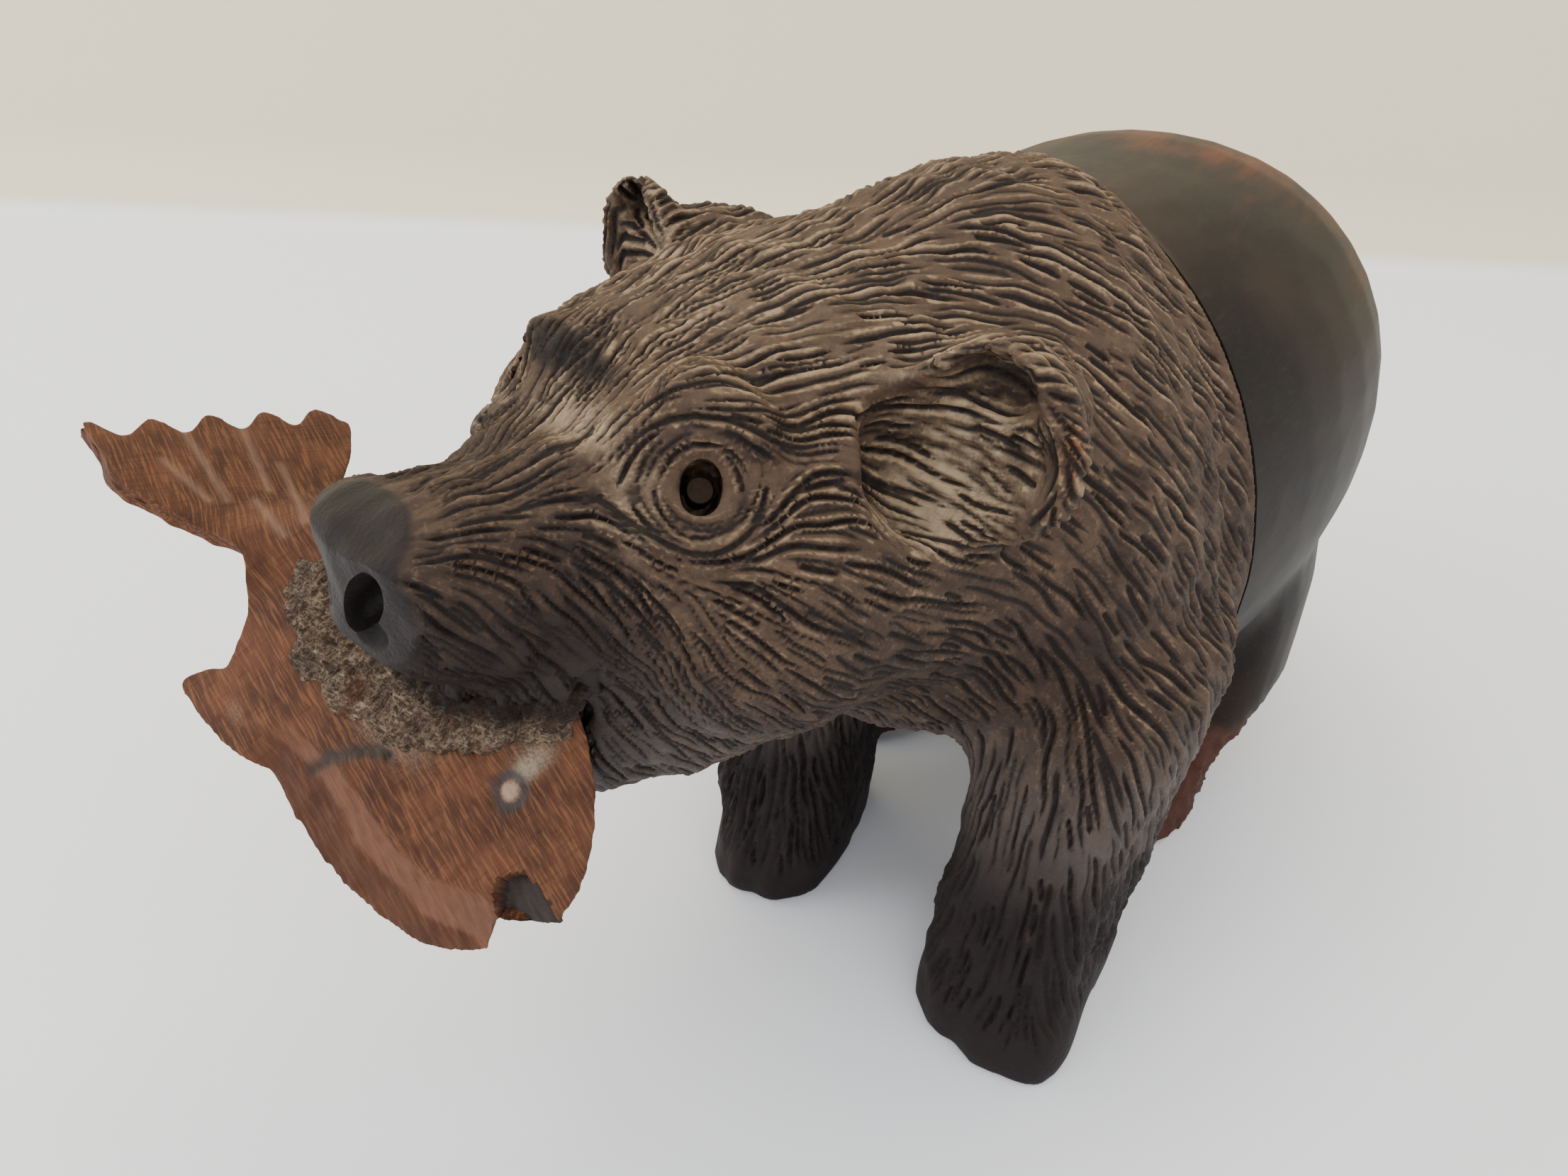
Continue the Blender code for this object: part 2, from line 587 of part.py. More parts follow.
def finish(obj, made):
    if obj.name not in PARTS.objects:
        PARTS.objects.link(obj)
    if obj.name in CUTTERS.objects:
        CUTTERS.objects.unlink(obj)
    obj.data.materials.clear()
    obj.data.materials.append(made)
    obj.data.shade_smooth()
    obj.data.set_sharp_from_angle(angle=radians(40))


build()
centre_on_ground()
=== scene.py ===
import random
from math import cos, pi, radians, sin, sqrt

import bpy
import numpy as np
from mathutils import Euler, Matrix, Vector
from mathutils.bvhtree import BVHTree
from mathutils.kdtree import KDTree


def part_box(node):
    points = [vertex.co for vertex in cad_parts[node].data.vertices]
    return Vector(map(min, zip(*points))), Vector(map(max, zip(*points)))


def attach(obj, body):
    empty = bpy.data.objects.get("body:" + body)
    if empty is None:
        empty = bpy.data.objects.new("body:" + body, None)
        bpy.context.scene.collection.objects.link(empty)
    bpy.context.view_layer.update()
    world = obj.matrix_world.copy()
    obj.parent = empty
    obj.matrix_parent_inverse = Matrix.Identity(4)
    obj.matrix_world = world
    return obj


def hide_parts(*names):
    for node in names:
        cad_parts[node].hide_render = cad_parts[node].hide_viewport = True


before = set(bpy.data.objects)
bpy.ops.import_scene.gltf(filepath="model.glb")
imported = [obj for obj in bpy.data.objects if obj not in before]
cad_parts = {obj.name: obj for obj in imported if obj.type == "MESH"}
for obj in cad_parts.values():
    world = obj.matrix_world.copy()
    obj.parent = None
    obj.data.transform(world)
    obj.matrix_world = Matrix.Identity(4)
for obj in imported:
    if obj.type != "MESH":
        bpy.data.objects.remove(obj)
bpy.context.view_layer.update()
mm = 0.001

# where the bear stands: the rump is symmetrical, so the far side and the tail give the middle line
stance = {"rumpHalf": 42.4 * mm, "tailReach": 96.36 * mm}
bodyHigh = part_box("bear_body")[1]
bodyPlace = Matrix.Translation((bodyHigh.x - stance["rumpHalf"], bodyHigh.y - stance["tailReach"], 0))
headTurn = {"neck": (-7.7, -25, 0), "yaw": -19, "tilt": 2.5, "tiltHeight": 88}
headPlace = (bodyPlace @ Matrix.Translation(Vector(headTurn["neck"]) * mm)
             @ Matrix.Rotation(radians(headTurn["yaw"]), 4, "Z")
             @ Matrix.Translation((0, 0, headTurn["tiltHeight"] * mm))
             @ Matrix.Rotation(radians(headTurn["tilt"]), 4, "Y")
             @ Matrix.Translation((0, 0, -headTurn["tiltHeight"] * mm)))
fishPlace = (headPlace @ Matrix.Translation((0, -61 * mm, 62 * mm))
             @ Matrix.Rotation(radians(25), 4, "Y") @ Matrix.Rotation(radians(40), 4, "X"))


def pick(*objects):
    bpy.ops.object.select_all(action="DESELECT")
    for obj in objects:
        obj.select_set(True)
    bpy.context.view_layer.objects.active = objects[-1]


def apply(obj, kind, **settings):
    pick(obj)
    step = obj.modifiers.new(kind.lower(), kind)
    for key, value in settings.items():
        setattr(step, key, value)
    bpy.ops.object.modifier_apply(modifier=step.name)
    return obj


def adopt(name, place):
    # name the new primitive and move its place into its mesh
    obj = bpy.context.active_object
    obj.name = name
    obj.data.name = name
    obj.data.transform(place @ obj.matrix_world)
    obj.matrix_world = Matrix.Identity(4)
    return obj


def blob(name, place, centre, radii, turn=(0, 0, 0)):
    bpy.ops.object.select_all(action="DESELECT")
    bpy.ops.mesh.primitive_uv_sphere_add(segments=32, ring_count=20, radius=1)
    shape = (Matrix.Translation(Vector(centre) * mm)
             @ Euler([radians(a) for a in turn]).to_matrix().to_4x4()
             @ Matrix.Diagonal((*[r * mm for r in radii], 1)))
    return adopt(name, place @ shape)


def join(*objects):
    pick(*objects)
    bpy.ops.object.join()
    return bpy.context.active_object


def cutOut(obj, cutter):
    apply(obj, "BOOLEAN", operation="DIFFERENCE", object=cutter, solver="MANIFOLD")
    bpy.data.objects.remove(cutter)
    return obj


def clayCopy(node, name):
    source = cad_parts[node]
    obj = bpy.data.objects.new(name, source.data.copy())
    bpy.context.scene.collection.objects.link(obj)
    obj.data.name = name
    pick(obj)
    bpy.ops.object.mode_set(mode="EDIT")
    bpy.ops.mesh.select_all(action="SELECT")
    bpy.ops.mesh.remove_doubles(threshold=1e-6)
    bpy.ops.object.mode_set(mode="OBJECT")
    obj.data.materials.clear()
    return obj


def readPoints(obj):
    flat = np.empty(len(obj.data.vertices) * 3)
    obj.data.vertices.foreach_get("co", flat)
    return flat.reshape(-1, 3)


def writePoints(obj, points):
    obj.data.vertices.foreach_set("co", np.ascontiguousarray(points, float).ravel())
    obj.data.update()


def readNormals(obj):
    flat = np.empty(len(obj.data.vertices) * 3)
    obj.data.vertex_normals.foreach_get("vector", flat)
    return flat.reshape(-1, 3)


def into(place, points, direction=False):
    # points in metres in the world, given in millimetres in a place's own axes
    back = np.array(place.inverted())
    turned = points @ back[:3, :3].T
    return turned if direction else (turned + back[:3, 3]) / mm


def outOf(place, points, direction=False):
    turn = np.array(place)
    return points @ turn[:3, :3].T if direction else (points * mm) @ turn[:3, :3].T + turn[:3, 3]


def paint(obj, name, values):
    layer = obj.data.attributes.new(name, "FLOAT", "POINT")
    layer.data.foreach_set("value", np.ascontiguousarray(values, np.float32))


def ramp(value, low, high):
    share = np.clip((value - low) / (high - low), 0, 1)
    return share * share * (3 - 2 * share)


def near(points, centre, radius):
    # soft round mask, radius in millimetres or one per axis
    away = (points - np.array(centre)) / np.array(radius)
    return np.exp(-0.5 * (away ** 2).sum(1))


def lumps(points, size, seed, octaves=1):
    # cheap smooth noise between -1 and 1: a few turned waves laid over each other
    dice = np.random.default_rng(seed)
    total = np.zeros(len(points))
    for octave in range(octaves):
        part = np.zeros(len(points))
        for _ in range(7):
            wave = dice.normal(size=3)
            wave *= 2 * pi / size * (2 ** octave) * dice.uniform(0.6, 1.4) / np.linalg.norm(wave)
            part += np.sin(points @ wave + dice.uniform(0, 2 * pi))
        total += part / 3.2 / (1.7 ** octave)
    return total


def split(obj, name, point, normal):
    # cut a closed solid at a plane in two closed solids; the new one lies on the normal's side
    other = bpy.data.objects.new(name, obj.data.copy())
    bpy.context.scene.collection.objects.link(other)
    other.data.name = name
    for piece, outer in ((obj, True), (other, False)):
        pick(piece)
        bpy.ops.object.mode_set(mode="EDIT")
        bpy.ops.mesh.select_all(action="SELECT")
        bpy.ops.mesh.bisect(plane_co=point, plane_no=normal, use_fill=True, threshold=1e-7,
                            clear_outer=outer, clear_inner=not outer)
        bpy.ops.object.mode_set(mode="OBJECT")
    return other


def dress(obj, material, slot, *nodes):
    obj.data.materials.clear()
    obj.data.materials.append(material)
    pick(obj)
    bpy.ops.object.shade_smooth_by_angle(angle=radians(50))
    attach(obj, "root")
    if nodes:
        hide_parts(*nodes)
    return obj


class Value:
    # one output socket; operators add Math nodes
    def __init__(self, tree, socket):
        self.tree, self.socket = tree, socket

    def math(self, operation, *others):
        return self.tree.node("ShaderNodeMath", {"operation": operation}, [self, *others])

    def __add__(self, other):
        return self.math("ADD", other)

    def __sub__(self, other):
        return self.math("SUBTRACT", other)

    def __mul__(self, other):
        return self.math("MULTIPLY", other)

    def __rsub__(self, other):
        return self.tree.node("ShaderNodeMath", {"operation": "SUBTRACT"}, [other, self])

    __radd__, __rmul__ = __add__, __mul__

    def power(self, other):
        return self.math("POWER", other)

    def clamp(self, low, high):
        # share of the way from low to high, smooth
        return self.tree.node("ShaderNodeMapRange", {"interpolation_type": "SMOOTHSTEP"},
                              [self, low, high, 0, 1])


class Recipe:
    def __init__(self, name):
        self.material = bpy.data.materials.new(name)
        self.material.use_nodes = True
        self.nodes = self.material.node_tree.nodes
        self.links = self.material.node_tree.links
        self.shader = self.nodes["Principled BSDF"]

    def node(self, kind, settings=None, inputs=(), output=0):
        # inputs: a list in socket order or a dictionary of socket names, of values or links
        made = self.nodes.new(kind)
        for key, value in (settings or {}).items():
            if key == "stops":
                self.setStops(made, value)
            else:
                setattr(made, key, value)
        pairs = inputs.items() if isinstance(inputs, dict) else enumerate(inputs)
        for key, value in pairs:
            self.feed(made.inputs[key], value)
        return Value(self, made.outputs[output])

    def setStops(self, made, stops):
        steps = made.color_ramp.elements
        while len(steps) < len(stops):
            steps.new(1.0)
        for step, (place, colour) in zip(steps, stops):
            step.position, step.color = place, (*colour, 1)

    def feed(self, socket, value):
        if isinstance(value, Value):
            self.links.new(value.socket, socket)
        elif value is not None:
            if socket.type == "RGBA" and len(value) == 3:
                value = (*value, 1)
            socket.default_value = value

    def place(self):
        return self.node("ShaderNodeTexCoord", output="Object")

    def painted(self, name, output="Fac"):
        return self.node("ShaderNodeAttribute", {"attribute_name": name}, output=output)

    def stretch(self, vector, scale, turn=(0, 0, 0)):
        return self.node("ShaderNodeMapping", {}, {
            "Vector": vector, "Scale": scale, "Rotation": tuple(radians(a) for a in turn)})

    def noise(self, vector, scale, detail=3, rough=0.55, warp=0):
        return self.node("ShaderNodeTexNoise", {}, {
            "Vector": vector, "Scale": scale, "Detail": detail, "Roughness": rough,
            "Distortion": warp})

    def mix(self, share, one, two):
        return self.node("ShaderNodeMix", {"data_type": "RGBA"}, {0: share, 6: one, 7: two}, 2)

    def bump(self, height, distance, strength=1.0, normal=None):
        return self.node("ShaderNodeBump", {}, {
            "Height": height, "Distance": distance, "Strength": strength, "Normal": normal})

    def finish(self, **sockets):
        for name, value in sockets.items():
            self.feed(self.shader.inputs[name.replace("_", " ")], value)
        return self.material


view = {"place": (0.0638, -0.1464, 0.138), "yaw": 29.68, "pitch": 33.06, "roll": 2.47, "lens": 27.05,
        "wallAway": 0.475, "cove": 0.03, "coveSteps": 12, "reach": 3.0, "wallHigh": 2.5, "lamp": 8.5, "sky": 1.7}


def addCamera():
    bpy.ops.object.camera_add(location=view["place"])
    camera = bpy.context.active_object
    camera.data.lens = view["lens"]
    camera.data.sensor_width = 36
    camera.data.clip_start = 0.005
    turn = (Matrix.Rotation(radians(view["yaw"]), 4, "Z")
            @ Matrix.Rotation(radians(90 - view["pitch"]), 4, "X")
            @ Matrix.Rotation(radians(view["roll"]), 4, "Z"))
    camera.matrix_world = Matrix.Translation(view["place"]) @ turn
    bpy.context.scene.camera = camera


def addStage():
    # a table top that rises in a soft bend to a cream wall
    ahead = Vector((-sin(radians(view["yaw"])), cos(radians(view["yaw"])), 0))
    side = Vector((ahead.y, -ahead.x, 0))
    start = Vector((view["place"][0], view["place"][1], 0)) + ahead * (view["wallAway"] - view["cove"])
    bend = [pi / 2 * step / view["coveSteps"] for step in range(view["coveSteps"] + 1)]
    profile = [(-view["reach"], 0), *[(view["cove"] * sin(a), view["cove"] * (1 - cos(a))) for a in bend],
               (view["cove"], view["wallHigh"])]
    bpy.ops.object.select_all(action="DESELECT")
    bpy.ops.mesh.primitive_grid_add(x_subdivisions=1, y_subdivisions=len(profile) - 1, size=1)
    floor = bpy.context.active_object
    floor.name = floor.data.name = "tableTop"
    for index, vertex in enumerate(floor.data.vertices):
        out, up = profile[index // 2]
        across = view["reach"] if index % 2 else -view["reach"]
        vertex.co = start + ahead * out + side * across + Vector((0, 0, up))
    floor.data.shade_smooth()
    made = Recipe("paleTable")
    high = made.node("ShaderNodeSeparateXYZ", {}, [made.place()], 2).clamp(0.0005, 0.006)
    colour = made.mix(high, (0.95, 0.96, 0.98), (0.84, 0.745, 0.52))
    floor.data.materials.append(made.finish(Base_Color=colour, Roughness=0.55))


def addLights():
    world = bpy.data.worlds.new("softRoom")
    bpy.context.scene.world = world
    world.use_nodes = True
    world.node_tree.nodes["Background"].inputs["Color"].default_value = (0.93, 0.95, 1.0, 1)
    world.node_tree.nodes["Background"].inputs["Strength"].default_value = view["sky"]
    for name, place, size, power, colour in (
            ("ceilingLamp", (-0.25, 0.35, 0.75), 0.5, view["lamp"], (1.0, 0.97, 0.92)),
            ("windowLight", (-0.7, -0.5, 0.6), 0.7, view["lamp"] * 0.45, (0.9, 0.95, 1.0))):
        bpy.ops.object.light_add(type="AREA", location=place)
        lamp = bpy.context.active_object
        lamp.name = name
        lamp.data.size = size
        lamp.data.energy = power
        lamp.data.color = colour
        aim = Vector((0, 0, 0.05)) - Vector(place)
        lamp.rotation_euler = aim.to_track_quat("-Z", "Y").to_euler()


clay = {
    "voxel": 0.85, "fineVoxel": 0.43, "quickVoxel": 1.3, "smoothing": 4,
    "seamY": 2.7,                       # behind the flat step of the mane
    "hairGap": 1.14, "hairDepth": 0.52, "hairWidth": 0.47, "hairStep": 0.5,
    "hairLength": (5, 17),              # each way from the middle of a stroke
}
eyes = {"spacing": 32.5, "reach": 40.5, "height": 88, "socket": (-13.8, -42.2, 90.0)}
ears = {"spacing": 58, "back": 16, "height": 91, "turn": 14, "radius": 10.5}

# soft lumps of clay laid on the head before it is fused: centre, radii, turn, in the head's axes
headLumps = [
    ("browLeft", (13.5, -36, 93.5), (7, 5, 3.4), (0, 22, 25)),
    ("lipBack", (9.0, -50, 66.0), (3.2, 6, 3.0), (0, 0, 8)),
]
# the edge of the lip over the flank, in the fish's axes
lipLine = [((-10, 2.5, 0.8), 3.2), ((-5, 3.0, 0.9), 3.4), ((0, 4.5, 0.9), 3.6), ((3.5, 8.5, 1.0), 3.8),
           ((6, 13, 0.5), 4.2)]
# pushes, as with a grab brush: centre, radius, how far, in the head's axes
headPushes = [
    ((-8, -51, 88), 6.5, (2.2, 0, -3.4)),      # bridge falls away on the right of the stop
    ((0, -50, 90), 5, (0, 0, -1.2)),
    ((0, -43, 93), 4, (0, 1.2, -1.0)),
    ((12, -52, 74), 5, (-1.0, 0, 0.6)),
    ((7.5, -64, 82.5), 3.0, (1.6, 0, 0.4)),    # the wings of the nose stand out
    ((-7.5, -64, 82.5), 3.0, (-1.2, 0, 0.4)),
    ((0, -66, 88), 4.5, (0, 0, -1.5)),
]
# the same in the body's axes: the toes run out to a corner
bodyPushes = [((29, -40, 2), 6, (3, -4, 0)), ((-30, -38, 8), 8, (2.5, 0, 0))]
nose = {"front": -68.8, "bow": 0.032, "low": 70}


def earPlace(side):
    spot = Matrix.Translation((side * ears["spacing"] / 2 * mm, -ears["back"] * mm, ears["height"] * mm))
    return headPlace @ spot @ Matrix.Rotation(side * radians(ears["turn"]), 4, "Z")


def eyeAxis(side):
    rim = headPlace @ Vector((side * eyes["spacing"] / 2 * mm, -eyes["reach"] * mm, eyes["height"] * mm))
    inward = headPlace.to_3x3() @ Vector((-side * 0.62, 0.42, -0.66))
    return rim, inward.normalized()


def bearClay():
    body = clayCopy("bear_body", "bearClay")
    lumpsMade = [blob(name, headPlace, *rest) for name, *rest in headLumps]
    for centre, radius in lipLine:
        lumpsMade.append(blob("lip", fishPlace, centre, (radius, radius, radius * 0.75)))
    body = join(*lumpsMade, body)
    voxel = clay["voxel"] * mm
    apply(body, "REMESH", mode="VOXEL", voxel_size=voxel)
    for side in (1, -1):
        # the cup opens towards the eye, so the hair of the cheek runs into it
        body = cutOut(body, blob("earCup", headPlace, (side * 27.0, -21.2, 90.0), (8.4, 6.2, 9.2),
                                 (0, 0, side * 14)))
        body = cutOut(body, blob("earHollow", headPlace, (side * 28.6, -16.6, 96.6), (4.8, 5.6, 3.3),
                                 (-25, 0, 0)))
    apply(body, "REMESH", mode="VOXEL", voxel_size=voxel)
    apply(body, "SMOOTH", factor=0.5, iterations=clay["smoothing"])
    local = into(headPlace, readPoints(body))
    for centre, radius, push in headPushes:
        local += near(local, centre, radius)[:, None] * np.array(push)
    local = into(bodyPlace, outOf(headPlace, local))
    for centre, radius, push in bodyPushes:
        local += near(local, centre, radius)[:, None] * np.array(push)
    local[:, 2] = np.maximum(local[:, 2], 0)
    writePoints(body, outOf(bodyPlace, local))
    print("clay", len(body.data.polygons), "faces")
    return body


def flattenNose(body):
    # one flat stroke of the knife across the front of the nose
    local = into(headPlace, readPoints(body))
    flat = nose["front"] + nose["bow"] * local[:, 0] ** 2
    high = ramp(local[:, 2], nose["low"], nose["low"] + 4)
    local[:, 1] += high * np.maximum(flat - local[:, 1], 0)
    writePoints(body, outOf(headPlace, local))


def cutFace(body):
    # nostrils, eye bores and the hole at the corner of the mouth, after the clay is fine
    for side in (1, -1):
        body = cutOut(body, blob("nostril", headPlace, (side * 4.3, -68.4, 79.2), (2.2, 5.0, 4.4),
                                 (-8, side * 36, side * 14)))
        rim, inward = eyeAxis(side)
        bore = blob("eyeBore", Matrix.Translation(rim + inward * 1.0 * mm)
                    @ inward.to_track_quat("Z", "Y").to_matrix().to_4x4(), (0, 0, 0), (2.2, 2.9, 4.0))
        body = cutOut(body, bore)
    body = cutOut(body, blob("rightSocket", headPlace, eyes["socket"], (2.0, 3.2, 2.4)))
    return cutOut(body, blob("mouthCorner", fishPlace, (10.6, 14.5, 1.0), (2.3, 3.0, 4.5)))


swirls = [(Vector((hand * eyes["spacing"] / 2, -eyes["reach"], eyes["height"])), 5.0) for hand in (1, -1)]


def flow(head, body, normal):
    # which way the hair runs at a point; head and body are the point in both sets of axes, in mm
    hand = 1 if head.x > 0 else -1
    out = min(1.0, abs(head.x) / 11)
    muzzle = max(0.0, min(1.0, (-40 - head.y) / 12))
    cheek = max(0.0, min(1.0, (-16 - head.y) / 12))
    lowering = max(0.0, min(1.0, (88 - head.z) / 9)) * (1.45 * muzzle + 0.7 * (cheek - muzzle))
    lowering += max(0.0, min(1.0, (80 - head.z) / 30)) * 0.4 + max(0.0, min(1.0, (head.y + 26) / 26)) * 1.1
    lowering *= min(1.0, abs(head.x) / 14 + max(0.0, (70 - head.z) / 20) + muzzle)
    if body.z < 48 and body.y > -48:
        lowering += (48 - body.z) / 6
    way = Vector((hand * out * 0.2, 1, -lowering))
    for centre, radius in swirls:
        away = head - centre
        gap = away.length
        if gap < radius * 2.2:
            ring = normal.cross(away)
            if ring.length > 1e-6:
                ring.normalize()
                if ring.dot(way) < 0:
                    ring = -ring
                share = max(0.0, min(1.0, (radius * 2.2 - gap) / (radius * 1.2)))
                way = way.normalized().lerp(ring, share)
    cup = (head - Vector((hand * 28, -20, 90))).length
    if cup < 13:
        rim = max(0.0, min(1.0, (abs(head.x) - 33.5) / 2))
        run = Vector((hand * 0.85, 0.5, -0.12 - 0.03 * (90 - head.z)))
        around = normal.cross(head - Vector((hand * 29, -16, 91)))
        if rim and around.length > 1e-6:
            run = run.lerp(around.normalized() * (1 if around.z < 0 else -1), rim)
        way = way.normalized().lerp(run, min(1.0, (13 - cup) / 5))
    way -= normal * way.dot(normal)
    return way.normalized() if way.length > 1e-6 else Vector((0, 0, -1))


def hairGapAt(head):
    # fine on the face, coarser on the mane and the legs
    return clay["hairGap"] * (0.82 + 0.5 * max(0.0, min(1.0, (head.y + 34) / 30)))


def bald(head, body):
    # the nose, the middles of the eyes, the paws and behind the step stay smooth
    tip = (head - Vector((0, -68, 80))).length < 10.0 and head.y < -61.5
    eye = Vector((eyes["spacing"] / 2, -eyes["reach"], eyes["height"]))
    socket = (Vector((abs(head.x), head.y, head.z)) - eye).length < 3.3
    return tip or socket or body.z < 6 or body.y > 1.6


def traceHair(body):
    dice = random.Random(11)
    tree = BVHTree.FromObject(body, bpy.context.evaluated_depsgraph_get())
    toHead, toBody = headPlace.inverted(), bodyPlace.inverted()
    back = headPlace.to_3x3().transposed()
    points = readPoints(body)
    order = list(range(len(points)))
    dice.shuffle(order)
    cells = {}
    cell = 1.6
    samples = []

    def crowded(spot, gap):
        base = [int(c // cell) for c in spot]
        for x in (-1, 0, 1):
            for y in (-1, 0, 1):
                for z in (-1, 0, 1):
                    for other in cells.get((base[0] + x, base[1] + y, base[2] + z), ()):
                        if (other - spot).length < gap:
                            return True
        return False

    def follow(found, normal, sign, wanted, gap, sway, wobble):
        path, run = [], 0.0
        while run < wanted:
            head, low = (toHead @ found) / mm, (toBody @ found) / mm
            if run and (bald(head, low) or crowded(head, gap * 0.44)):
                break
            inner = back @ normal
            way = flow(head, low, inner)
            way = (way + inner.cross(way) * (sway + 0.10 * sin(run * 0.7 * sign + wobble))).normalized()
            path.append((head, way))
            found, normal, _, _ = tree.find_nearest(headPlace @ ((head + way * sign * clay["hairStep"]) * mm))
            run += clay["hairStep"]
        return path

    number = 0
    for index in order[:52000]:
        found, normal, _, _ = tree.find_nearest(Vector(points[index]))
        head, low = (toHead @ found) / mm, (toBody @ found) / mm
        if bald(head, low):
            continue
        gap = hairGapAt(head)
        if crowded(head, gap * 0.70):
            continue
        bend = (dice.uniform(-0.10, 0.10), dice.uniform(0, 6.3))
        ahead = follow(found, normal, 1, dice.uniform(*clay["hairLength"]), gap, *bend)
        behind = follow(found, normal, -1, dice.uniform(*clay["hairLength"]), gap, *bend)
        path = behind[:0:-1] + ahead
        if len(path) < 6:
            continue
        depth = clay["hairDepth"] * dice.uniform(0.55, 1.25)
        width = clay["hairWidth"] * dice.uniform(0.8, 1.2) * (gap / clay["hairGap"]) ** 0.7
        tone = dice.random()
        for step, (spot, way) in enumerate(path):
            share = step / (len(path) - 1)
            taper = min(1.0, share * 6) * min(1.0, (1 - share) * 3.5)
            samples.append((spot, way, depth * taper, width * (0.55 + 0.45 * taper), tone))
            cells.setdefault(tuple(int(c // cell) for c in spot), []).append(spot)
        number += 1
    print("hair strokes", number, "samples", len(samples))
    return samples


def carveHair(body, samples):
    tree = KDTree(len(samples))
    for index, sample in enumerate(samples):
        tree.insert(sample[0], index)
    tree.balance()
    points, normals = readPoints(body), readNormals(body)
    local = into(headPlace, points)
    made = {name: np.zeros(len(points)) for name in ("cut", "edge", "tone")}
    deep = np.zeros(len(points))
    for index, spot in enumerate(local):
        best = 9.0
        for _, which, gap in tree.find_n(spot, 3):
            if gap > 1.6:
                break
            centre, way, depth, width, tone = samples[which]
            away = Vector(spot) - centre
            across = sqrt(max(0.0, away.length_squared - away.dot(way) ** 2))
            if across < best:
                best = across
                made["tone"][index] = tone
            full = min(1, depth / clay["hairDepth"])
            share = 1 - across / width
            if share > 0:
                made["cut"][index] = max(made["cut"][index], share * full)
                deep[index] = max(deep[index], depth * share ** 0.8)
            rim = full * max(0.0, 1 - abs(across / width - 1.45) / 0.8)
            made["edge"][index] = max(made["edge"][index], rim)
            deep[index] -= 0.05 * rim
    points -= normals * deep[:, None] * mm
    writePoints(body, points)
    return made


def paintHair(body, made):
    points, normals = readPoints(body), readNormals(body)
    head, low = into(headPlace, points), into(bodyPlace, points)
    dust = np.zeros(len(points))
    bare = np.zeros(len(points))
    for side in (1, -1):
        dust += 1.15 * near(head, (side * 26, -18, 87.5), (5.5, 4.5, 7))
        bare += 0.8 * near(head, (side * 37.5, -15, 95), (1.6, 3, 6))
        eye = np.array((side * eyes["spacing"] / 2, -eyes["reach"], eyes["height"]))
        gap = np.linalg.norm(head - eye, axis=1)
        bare += 0.55 * np.exp(-0.5 * ((gap - 3.0) / 0.8) ** 2)
        dust += 0.5 * near(head, (side * 14, -46, 84), (3, 3, 4.5))
    dust += 0.6 * near(head, (1, -45.5, 90.5), (7, 2.4, 2.6))
    dust += 0.3 * near(head, (2, -24, 100), (18, 14, 8))
    bare += 0.8 * near(head, (11.5, -49.5, 63), (1.8, 3, 1.8))
    dust *= 0.35 + 0.65 * ramp(normals[:, 2], -0.2, 0.8)
    # painted light and shade: faces turned up on the head and the high mane are painted lighter, faces turned down
    # under the head darker, and the colour darkens towards the paws and on the muzzle
    light = 0.75 * ramp(normals[:, 2], 0.2, 0.95) * ramp(head[:, 1], -52, -20) + 0.55 * ramp(low[:, 2], 50, 92)
    light -= 0.9 * (1 - ramp(low[:, 2], 6, 42)) + 0.42 * (1 - ramp(head[:, 1], -52, -40))
    light -= 0.2 * (1 - ramp(normals[:, 2], -0.2, 0.5)) * ramp(head[:, 2], 50, 62)
    # lower roughness on the upper forelegs and the throat, with a painted bluish-grey sheen there
    gloss = ramp(-low[:, 2], -52, -30) * ramp(low[:, 2], 18, 44) * ramp(low[:, 1], -62, -40)
    gloss += 0.8 * near(head, (8, -40, 55), (16, 14, 8))
    gap = np.linalg.norm(head - np.array((0, -68, 79)), axis=1)
    tip = (1 - ramp(gap, 9.0, 11.0)) * (1 - ramp(head[:, 1], -63, -61))
    # painted shade at the stop, beside it towards the right eye, and in the ear hollows
    recess = near(head, (-3.5, -40.3, 93.6), (6, 1.3, 1.8)) + near(head, (-9, -41, 92), (3, 1.3, 2.0))
    for side in (1, -1):
        recess += 1.2 * near(head, (side * 28.6, -14, 97.2), (3.6, 3.6, 2.2))
    for name, value in (*made.items(), ("dust", dust), ("bare", bare), ("light", light + 0.5),
                        ("gloss", gloss), ("nose", tip), ("recess", recess)):
        paint(body, name, np.clip(value, 0, 1.5))


